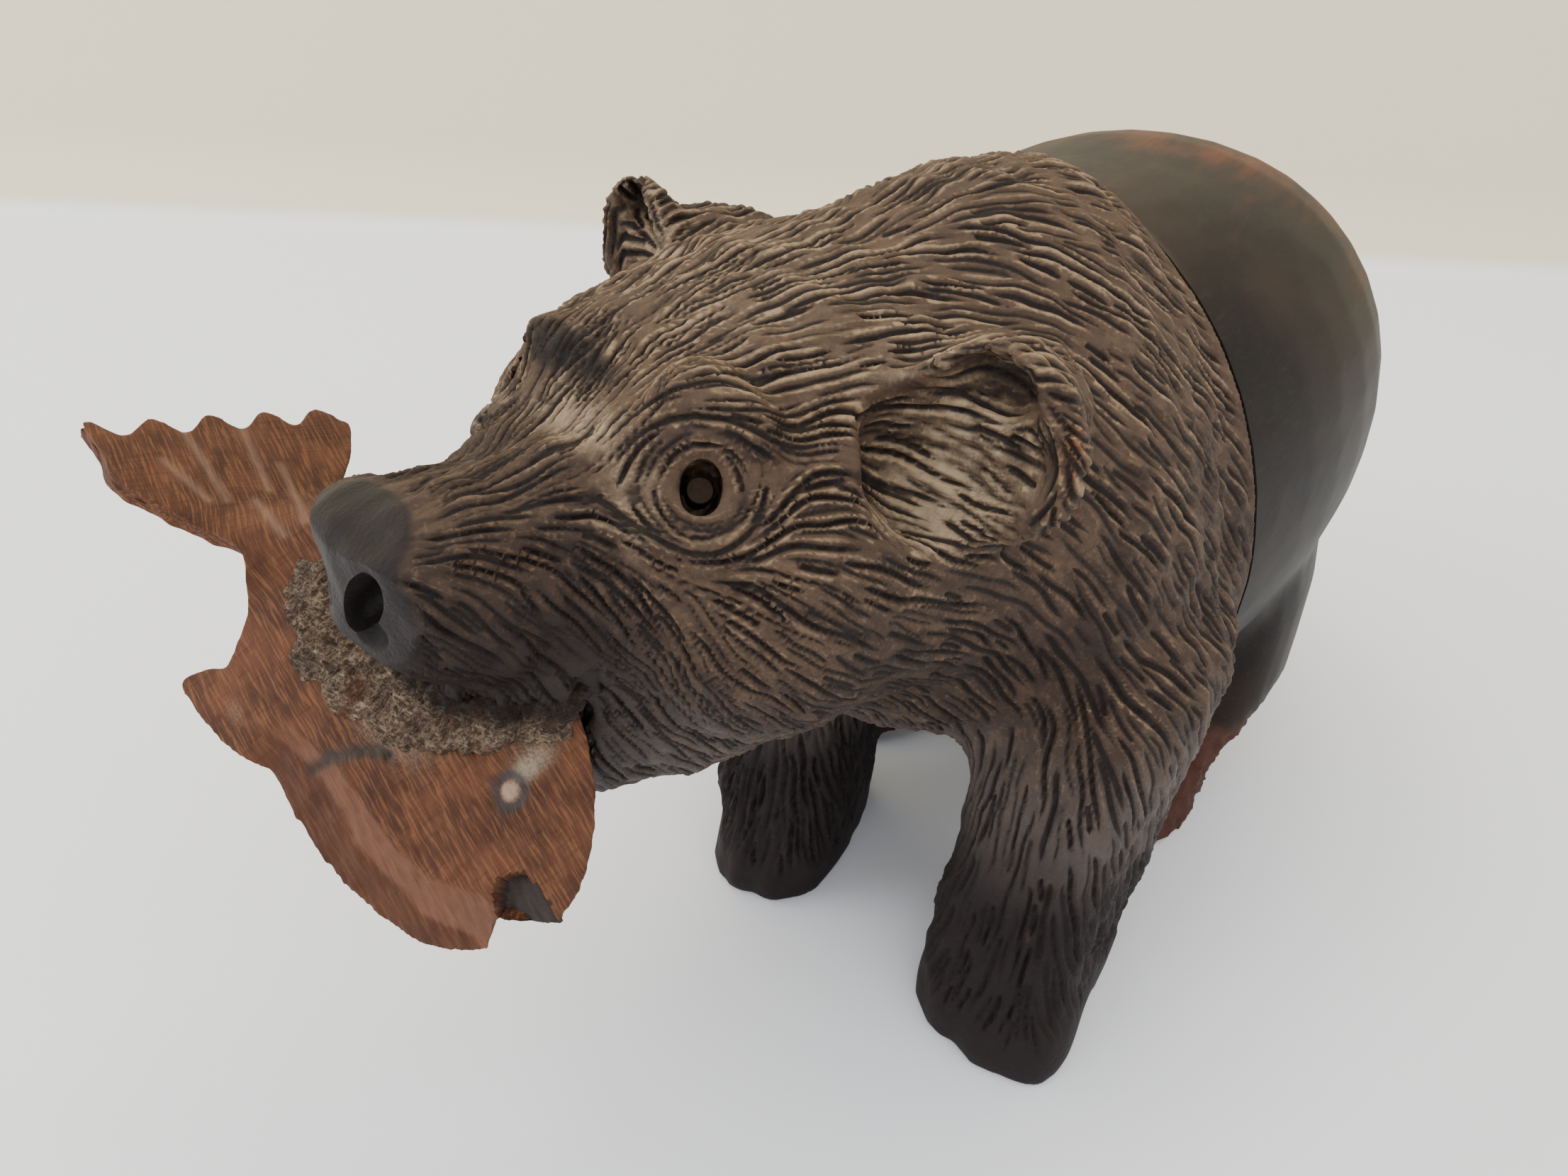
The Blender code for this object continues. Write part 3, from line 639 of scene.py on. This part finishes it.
def hairWood():
    made = Recipe("hairWood")
    place = made.place()
    cut, edge, dust = made.painted("cut"), made.painted("edge"), made.painted("dust")
    gloss, tip, light = made.painted("gloss"), made.painted("nose"), made.painted("light")
    broad = made.noise(place, 60, 3)
    fine = made.noise(place, 1100, 4, 0.7)
    speck = made.noise(place, 2600, 2, 0.6)
    patch = made.noise(place, 190, 3, 0.6)
    grain = made.noise(made.stretch(place, (700, 110, 700)), 2.2, 4, 0.65)
    wood = made.mix(broad.clamp(0.35, 0.68), (0.023, 0.0145, 0.011), (0.050, 0.030, 0.020))
    wood = made.mix(made.painted("tone").clamp(0.1, 1.0) * 0.5, wood, (0.105, 0.065, 0.038))
    wood = made.mix(grain.clamp(0.45, 0.72) * 0.5, wood, (0.020, 0.013, 0.011))
    wood = made.mix(fine.clamp(0.52, 0.78) * 0.4, wood, (0.22, 0.14, 0.088))
    # lighter patches, stronger where the painted light is high
    wood = made.mix((patch * (light + 0.4)).clamp(0.4, 0.9) * 0.35, wood, (0.15, 0.095, 0.058))
    wood = made.mix((made.painted("bare") * (fine + 0.2)).clamp(0.35, 0.75), wood, (0.20, 0.075, 0.03))
    wood = made.mix((dust * (patch + fine - 0.25)).clamp(0.12, 0.75) * 0.8, wood, (0.42, 0.32, 0.205))
    # pale dust on the edges of the grooves, stronger where the painted light is high
    wood = made.mix((edge * (dust * 0.7 + light * 0.45 + 0.2) * (patch + fine - 0.15)).clamp(0.15, 0.8) * 0.62,
                    wood, (0.42, 0.29, 0.165))
    # painted shade: darker where the painted light map is low (faces turned down, the paws and the muzzle)
    wood = made.mix(1 - (light * 1.6).clamp(0, 1), wood, (0.015, 0.010, 0.0095))
    # painted sheen: bluish grey on the upper forelegs and the throat
    wood = made.mix(gloss * 0.55, wood, (0.115, 0.096, 0.086))
    # painted shade in the hair grooves: darker the deeper a point lies in a groove
    wood = made.mix(cut.clamp(0.18, 0.6) * 0.9, wood, (0.009, 0.006, 0.005))
    # painted shade in the recesses
    wood = made.mix(made.painted("recess").clamp(0.25, 0.8) * 0.75, wood, (0.009, 0.007, 0.006))
    wood = made.mix(tip.clamp(0.2, 0.8) * 0.92, wood, made.mix(fine, (0.007, 0.006, 0.006), (0.016, 0.011, 0.010)))
    rough = 0.6 - gloss * 0.2 - tip * 0.16 + fine * 0.12
    bumped = made.bump(speck, 0.00012, 0.5, made.bump(grain, 0.0003, 0.6))
    return made.finish(Base_Color=wood, Roughness=rough, Normal=bumped, Specular_IOR_Level=0.15)


def polishedWood():
    made = Recipe("polishedWood")
    place = made.place()
    broad = made.noise(place, 22, 3, 0.6, 0.4)
    streak = made.noise(made.stretch(place, (70, 14, 70)), 2.2, 5, 0.6, 0.3)
    fine = made.noise(made.stretch(place, (700, 90, 700)), 2.0, 3, 0.6)
    rough = made.painted("rough")
    warm = made.painted("warm")
    wood = made.mix(broad.clamp(0.35, 0.7), (0.009, 0.0075, 0.007), (0.027, 0.017, 0.012))
    wood = made.mix((streak * warm).clamp(0.36, 0.72) * 0.62, wood, (0.15, 0.042, 0.016))
    wood = made.mix(fine.clamp(0.5, 0.8) * 0.3, wood, (0.055, 0.032, 0.022))
    wood = made.mix(rough.clamp(0.2, 0.8), wood, made.mix(fine, (0.038, 0.018, 0.013), (0.085, 0.035, 0.025)))
    shine = 0.42 + rough * 0.3 + fine * 0.08
    bumped = made.bump(fine, 0.0002, 0.15)
    return made.finish(Base_Color=wood, Roughness=shine, Normal=bumped, Specular_IOR_Level=0.08)


def buildBear():
    body = bearClay()
    seam = bodyPlace @ Vector((0, clay["seamY"] * mm, 0))
    rump = split(body, "bearRump", seam, (0, 1, 0))
    low = into(bodyPlace, readPoints(rump))
    leg = (1 - ramp(low[:, 2], 14, 24)) * ramp(np.abs(low[:, 0]), 8, 12) * (1 - ramp(low[:, 1], 58, 70))
    rough = leg + 0.5 * lumps(low, 9, 4) * leg
    points = readPoints(rump) - readNormals(rump) * ((0.35 * lumps(low, 3.2, 5, 2)) * leg * mm)[:, None]
    writePoints(rump, points)
    paint(rump, "rough", np.clip(rough, 0, 1))
    warm = ramp(low[:, 2], 56, 96) * (0.6 + 0.4 * ramp(low[:, 1], 25, 60)) * 1.1
    paint(rump, "warm", np.clip(warm, 0, 1.5))
    apply(body, "REMESH", mode="VOXEL", voxel_size=clay["fineVoxel"] * mm)
    apply(body, "SMOOTH", factor=0.5, iterations=2)
    flattenNose(body)
    body = cutFace(body)
    local = into(headPlace, readPoints(body))
    low = into(bodyPlace, readPoints(body))
    fade = ((1 - ramp(low[:, 1], -1, 1.5)) * ramp(low[:, 2], 2, 8))[:, None]
    writePoints(body, readPoints(body) + readNormals(body) * fade
                * (0.3 * lumps(local, 9, 3, 2) * mm)[:, None])
    paintHair(body, carveHair(body, traceHair(body)))
    print("fore", len(body.data.polygons), "faces")
    hair = hairWood()
    mane = split(body, "bearMane", headPlace @ Vector((0, -20 * mm, 60 * mm)),
                 headPlace.to_3x3() @ Vector((0, 1, -0.25)).normalized())
    legs = split(mane, "bearForelegs", (0, 0, 52 * mm), (0, 0, -1))
    body.name = "bearHead"
    dress(body, hair, "dark_ironwood", "bear_body")
    dress(mane, hair, "dark_ironwood")
    dress(legs, hair, "dark_ironwood")
    dress(rump, polishedWood(), "dark_ironwood")
    for piece in (body, mane, legs, rump):
        points = readPoints(piece)
        points[:, 2] = np.maximum(points[:, 2], 0)
        writePoints(piece, points)
        print(piece.name, sum(len(p.vertices) - 2 for p in piece.data.polygons), "triangles")


fishForm = {
    "thickness": 8.0, "tailThickness": 2.6, "thinningX": -6, "bendStart": -21, "tailLength": 21.5,
    "stockY": -6.5, "twist": 56, "lift": 7, "voxel": 0.34,
    # round the flank in its own flat axes in mm, in stretches that meet at corners
    "back": [(-44, 8.5), (-39, 6.8), (-31, 1.6), (-25, -1.5), (-19, 1.5), (-12, 6.5), (-2, 11), (6, 12.6),
             (13, 11.2), (19, 8.5), (24, 4), (26, -0.5), (25, -2.6), (22, -6)],
    "belly": [(24, -8.5), (20.5, -13.5), (16, -16.3), (11, -18.3), (4, -19.8), (-6, -20.4)],
    "fin": [(-7, -21.2), (-13, -23.3), (-19.5, -24), (-19, -20.5), (-18, -18), (-21.5, -13.5)],
    "underTail": [(-25.2, -10.4), (-27.5, -10.6), (-33.5, -17), (-38, -20.5), (-42, -20.6)],
    "tailEnd": -45.5, "tailLow": -21.5, "tailHigh": 7.5, "scallop": 1.3, "scallopPitch": 6.5,
    "eye": (12.5, 1.6), "middle": (5, -3), "tuck": 0.3,
    "rays": [[(-44.8, -11.7), (-33.3, -10.3)], [(-44.2, -5.1), (-34.2, -5.3)],
             [(-40.2, -15.1), (-33.6, -12.2)], [(-37.9, -2.7), (-26.1, -2.9)],
             [(-32.7, -7.3), (-25.8, -5.5)]],
}


def distanceTo(points, line):
    # distance in the plane from each point to a broken line, and the place along it
    best = np.full(len(points), 1e9)
    for start, end in zip(line, line[1:]):
        start, end = np.array(start, float), np.array(end, float)
        run = end - start
        share = np.clip(((points[:, :2] - start) @ run) / (run @ run), 0, 1)
        gap = np.linalg.norm(points[:, :2] - start - share[:, None] * run, axis=1)
        best = np.minimum(best, gap)
    return best


def inside(points, corners):
    # whether each point lies in a flat polygon: count the edges crossed on the way out
    odd = np.zeros(len(points), bool)
    for (x, y), (nextX, nextY) in zip(corners, [*corners[1:], corners[0]]):
        crosses = (y > points[:, 1]) != (nextY > points[:, 1])
        odd ^= crosses & (points[:, 0] < (nextX - x) * (points[:, 1] - y) / (nextY - y + 1e-9) + x)
    return odd


def bendFish(flat):
    form = fishForm
    x, y, z = flat.T.copy()
    share = ramp(form["bendStart"] - x, 0, form["tailLength"] * 0.6)
    ease = ramp(form["thinningX"] - x, 0, form["thinningX"] - form["bendStart"])
    z = z * (1 + ease * (form["tailThickness"] / form["thickness"] - 1))
    middle = form["stockY"] * share
    turn = -radians(form["twist"]) * share
    away = y - middle
    run = np.maximum(0, form["bendStart"] - x)
    newY = middle + away * np.cos(turn) - z * np.sin(turn)
    newZ = away * np.sin(turn) + z * np.cos(turn) - run * sin(radians(form["lift"])) * share
    newX = x + run * share * (1 - cos(radians(form["lift"])))
    return np.stack([newX, newY, newZ], 1)


def smoothLine(points, steps=4):
    # a curve through the points, by the slopes between their neighbours
    spots = [np.array(point, float) for point in points]
    spots = [spots[0], *spots, spots[-1]]
    line = []
    for before, start, end, after in zip(spots, spots[1:], spots[2:], spots[3:]):
        for step in range(steps):
            t = step / steps
            line.append(0.5 * (2 * start + (end - before) * t
                               + (2 * before - 5 * start + 4 * end - after) * t ** 2
                               + (3 * start - before - 3 * end + after) * t ** 3))
    return [*line, spots[-1]]


def fishOutline():
    form = fishForm
    line = []
    for stretch in ("back", "belly", "fin", "underTail"):
        line += smoothLine(form[stretch])
    count = int((form["tailHigh"] - form["tailLow"]) / form["scallopPitch"] * 8)
    for step in range(count + 1):
        y = form["tailLow"] + (form["tailHigh"] - form["tailLow"]) * step / count
        wave = cos(2 * pi * (y - form["tailLow"] - 3.7) / form["scallopPitch"])
        line.append((form["tailEnd"] + form["scallop"] * wave, y))
    return [(float(x), float(y)) for x, y in line]


def buildFish():
    form = fishForm
    outline = fishOutline()
    bpy.ops.object.select_all(action="DESELECT")
    bpy.ops.mesh.primitive_circle_add(vertices=len(outline), fill_type="NGON")
    fish = adopt("fishCarving", Matrix.Identity(4))
    for vertex, (x, y) in zip(fish.data.vertices, outline):
        vertex.co = (x * mm, y * mm, 0)
    pick(fish)
    bpy.ops.object.mode_set(mode="EDIT")
    bpy.ops.mesh.select_all(action="SELECT")
    bpy.ops.mesh.quads_convert_to_tris()
    bpy.ops.mesh.extrude_region_move(TRANSFORM_OT_translate={"value": (0, 0, -form["thickness"] * mm)})
    bpy.ops.mesh.select_all(action="SELECT")
    bpy.ops.mesh.normals_make_consistent(inside=False)
    bpy.ops.object.mode_set(mode="OBJECT")
    apply(fish, "REMESH", mode="VOXEL", voxel_size=form["voxel"] * mm)
    apply(fish, "SMOOTH", factor=0.5, iterations=3)
    flat = readPoints(fish) / mm
    normals = readNormals(fish)
    front = ramp(normals[:, 2], 0.2, 0.7)
    depth = np.clip(1 + flat[:, 2] / form["thickness"], 0, 1)
    wide = flat.copy()
    # belly: an outer bevel, then a pale band, then the flank
    outer = [(-8, -17.2), (-1.9, -15.5), (2.4, -15.0), (6.6, -15.1), (10.6, -14.2), (13.7, -13.2), (17, -12.6), (22, -9)]
    inner = [(-6, -14.5), (-0.3, -12.6), (5.0, -11.9), (10.2, -11.2), (15.1, -9.5), (19.2, -5.8), (21.5, -5)]
    outerGap, innerGap = distanceTo(flat, outer), distanceTo(flat, inner)
    edge = distanceTo(flat, [*outline, outline[0]])
    below = np.interp(flat[:, 0], [p[0] for p in outer], [p[1] for p in outer]) - flat[:, 1]
    under = np.interp(flat[:, 0], [p[0] for p in inner], [p[1] for p in inner]) - flat[:, 1]
    along = ramp(flat[:, 0], -9, -5)
    drop = along * (0.7 * ramp(under, -0.1, 1.0) + 0.8 * ramp(below, 0, 4.5))
    # gill step and the mouth's recess
    gill = [(-2.5, -15.4), (-2.2, -13.4), (-1.0, -10.8), (0.2, -8.6), (1.6, -7.5)]
    gillGap = distanceTo(flat, gill)
    drop += 0.8 * np.exp(-0.5 * (gillGap / 0.42) ** 2)
    hole = [(19.0, -3.7), (20.2, -1.1), (24.0, -0.5), (27, -0.9), (27, -2.6), (23.8, -3.8), (21.9, -5.9)]
    mouth = inside(flat, hole)
    drop += 1.8 * mouth
    eyeGap = np.linalg.norm(flat[:, :2] - np.array(form["eye"]), axis=1)
    ring = np.exp(-0.5 * ((eyeGap - 1.6) / 0.38) ** 2)
    drop += 0.6 * ring + 0.2 * (eyeGap < 1.4)
    # rays of the tail, rasp marks and a worn edge
    rays = np.zeros(len(flat))
    for line in form["rays"]:
        rays = np.maximum(rays, np.exp(-0.5 * (distanceTo(flat, line) / 0.34) ** 2))
    drop += 0.4 * rays
    drop += 0.10 * np.sin(flat[:, 1] * 2 * pi / 1.3 + 0.8 * flat[:, 0]) * ramp(flat[:, 0], -8, 0)
    drop += 0.14 * lumps(flat, 4, 8, 2) + 0.08 * lumps(flat, 1.2, 9, 1)
    shaped = flat - normals * ((1 - front) * 0.10 * lumps(flat, 3, 10, 1))[:, None]
    shaped[:, 2] -= drop * depth
    # the edge runs in towards the back, so only the flank shows from the front
    tuck = form["tuck"] * (1 - depth) * ramp(flat[:, 0], -14, -2)
    shaped[:, :2] += (np.array(form["middle"]) - shaped[:, :2]) * tuck[:, None]
    back = flat[:, 2] < -form["thickness"] * 0.5
    shaped[:, 2] += np.where(back, 1.2 * (1 - ramp(edge, 0, 4)), 0)
    writePoints(fish, outOf(fishPlace, bendFish(shaped)))
    for name, value in (("ring", ring), ("rays", rays), ("mouth", mouth * front), ("eyeCore", np.exp(-0.5 * (eyeGap / 0.9) ** 2)),
                        ("band", front * along * ramp(under, 0, 0.6) * (1 - ramp(below, -0.3, 0.3))),
                        ("step", np.exp(-0.5 * (gillGap / 0.55) ** 2) * front),
                        ("lowBevel", front * along * ramp(below, -0.2, 0.5)),
                        ("dusty", 0.75 * near(flat, (-4, -4, 0), (9, 5, 9)) + 0.6 * near(flat, (8, 8, 0), (5, 4, 9))
                         + 0.5 * near(flat, (-13, -20, 0), (3, 1.5, 9)) + 0.5 * near(flat, (12, 4, 0), (1, 2, 9)))):
        paint(fish, name, value)
    layer = fish.data.attributes.new("flat", "FLOAT_VECTOR", "POINT")
    layer.data.foreach_set("vector", np.ascontiguousarray(wide, np.float32).ravel())
    made = Recipe("raspedWood")
    spread = made.painted("flat", "Vector")
    broad = made.noise(spread, 0.16, 3)
    saw = made.noise(made.stretch(spread, (0.25, 3.2, 1), (0, 0, -18)), 1.0, 3, 0.6)
    tick = made.noise(made.stretch(spread, (2.6, 0.22, 1), (0, 0, 14)), 1.0, 3, 0.6)
    fine = made.noise(spread, 3.2, 3, 0.7)
    wood = made.mix(broad.clamp(0.35, 0.7), (0.055, 0.021, 0.011), (0.115, 0.043, 0.020))
    wood = made.mix(saw.clamp(0.46, 0.66) * 0.5, wood, (0.25, 0.105, 0.042))
    wood = made.mix(tick.clamp(0.5, 0.72) * 0.4, wood, (0.045, 0.017, 0.011))
    wood = made.mix(made.painted("band") * 0.65, wood, made.mix(fine, (0.150, 0.066, 0.040), (0.190, 0.088, 0.055)))
    wood = made.mix(made.painted("lowBevel") * 0.6, wood, (0.062, 0.024, 0.013))
    wood = made.mix(made.painted("rays") * 0.35, wood, (0.30, 0.19, 0.13))
    wood = made.mix((made.painted("dusty") * (fine + 0.35)).clamp(0.3, 0.8) * 0.85, wood, (0.30, 0.24, 0.17))
    # painted shade along the gill step
    wood = made.mix(made.painted("step") * 0.75, wood, (0.05, 0.045, 0.04))
    # painted shade in the carved ring round the eye
    wood = made.mix(made.painted("ring") * 0.85, wood, (0.045, 0.045, 0.045))
    wood = made.mix((made.painted("eyeCore") * (fine + 0.5)).clamp(0.3, 0.8), wood, (0.33, 0.22, 0.15))
    # painted shade inside the mouth hole
    wood = made.mix(made.painted("mouth") * 0.9, wood, made.mix(fine, (0.018, 0.016, 0.015), (0.06, 0.05, 0.045)))
    bumped = made.bump(tick, 0.00018, 0.6, made.bump(saw, 0.00025, 0.7))
    material = made.finish(Base_Color=wood, Roughness=0.6 + fine * 0.15, Normal=bumped, Specular_IOR_Level=0.18)
    dress(fish, material, "raw_ironwood", "fish")
    print("fish", sum(len(p.vertices) - 2 for p in fish.data.polygons), "triangles")


fibreForm = {
    # flattened blobs along the lips, in the fish's axes: centre and radii in mm
    "chain": [((-18.0, -6.0, -0.2), (4.2, 4.2)), ((-13.0, -6.6, -0.2), (5.0, 5.2)),
              ((-7.5, -5.6, -0.1), (5.4, 5.0)), ((-2.2, -3.4, 0), (5.0, 4.8)), ((1.8, 0.0, 0), (4.2, 4.6)),
              ((4.8, 4.3, 0), (4.0, 4.8)), ((8.0, 9.2, 0), (3.6, 4.6))],
    "height": 1.15, "voxel": 0.42,
}


def buildFiller():
    form = fibreForm
    filler = join(*[blob("mouthFibre", fishPlace, centre, (*radii, form["height"]))
                    for centre, radii in form["chain"]])
    apply(filler, "REMESH", mode="VOXEL", voxel_size=form["voxel"] * mm)
    filler.name = filler.data.name = "mouthFibre"
    local = into(fishPlace, readPoints(filler))
    rise = 0.35 * lumps(local, 3.4, 21, 2) + 0.22 * lumps(local, 1.1, 22, 2)
    writePoints(filler, readPoints(filler) + readNormals(filler) * (rise * mm)[:, None])
    lip = np.full(len(local), 9.0)
    for centre, radius in lipLine:
        lip = np.minimum(lip, np.linalg.norm(local - np.array(centre), axis=1) - radius)
    paint(filler, "shade", 1 - ramp(lip, 0.3, 2.6))
    made = Recipe("dustyFibre")
    place = made.place()
    strands = made.noise(made.stretch(place, (1700, 420, 1700), (20, 30, 40)), 1.0, 4, 0.7, 1.2)
    strandsToo = made.noise(made.stretch(place, (420, 1600, 1500), (0, 15, -25)), 1.0, 4, 0.7, 1.2)
    broad = made.noise(place, 260, 3, 0.6)
    dust = made.mix(strands.clamp(0.42, 0.66), (0.050, 0.031, 0.021), (0.20, 0.140, 0.092))
    dust = made.mix(strandsToo.clamp(0.5, 0.72) * 0.8, dust, (0.37, 0.28, 0.185))
    dust = made.mix(broad.clamp(0.52, 0.7) * 0.6, dust, (0.115, 0.045, 0.025))
    dust = made.mix(broad.clamp(0.46, 0.3) * 0.6, dust, (0.030, 0.022, 0.018))
    dust = made.mix(made.painted("shade") * 0.85, dust, (0.018, 0.013, 0.010))
    bumped = made.bump(strandsToo, 0.0004, 0.8, made.bump(strands, 0.0004, 0.9))
    material = made.finish(Base_Color=dust, Roughness=0.95, Normal=bumped, Specular_IOR_Level=0.2)
    dress(filler, material, "sawdust_filler", "mouth_filler")


def buildPegs():
    made = Recipe("pegEndGrain")
    fine = made.noise(made.place(), 1400, 4, 0.7)
    material = made.finish(Base_Color=made.mix(fine, (0.012, 0.008, 0.006), (0.06, 0.036, 0.024)),
                           Roughness=0.9, Normal=made.bump(fine, 0.0002, 0.8), Specular_IOR_Level=0.1)
    for node in ("left_eye_peg", "right_eye_peg"):
        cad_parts[node].data.materials.clear()
        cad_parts[node].data.materials.append(material)
    made = Recipe("paleDowelWood")
    grain = made.noise(made.stretch(made.place(), (900, 900, 120)), 1.0, 3)
    plain = made.finish(Base_Color=made.mix(grain, (0.42, 0.27, 0.14), (0.6, 0.43, 0.25)), Roughness=0.6)
    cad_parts["fish_dowel"].data.materials.clear()
    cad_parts["fish_dowel"].data.materials.append(plain)


addCamera()
addStage()
addLights()
buildBear()
buildFish()
buildFiller()
buildPegs()
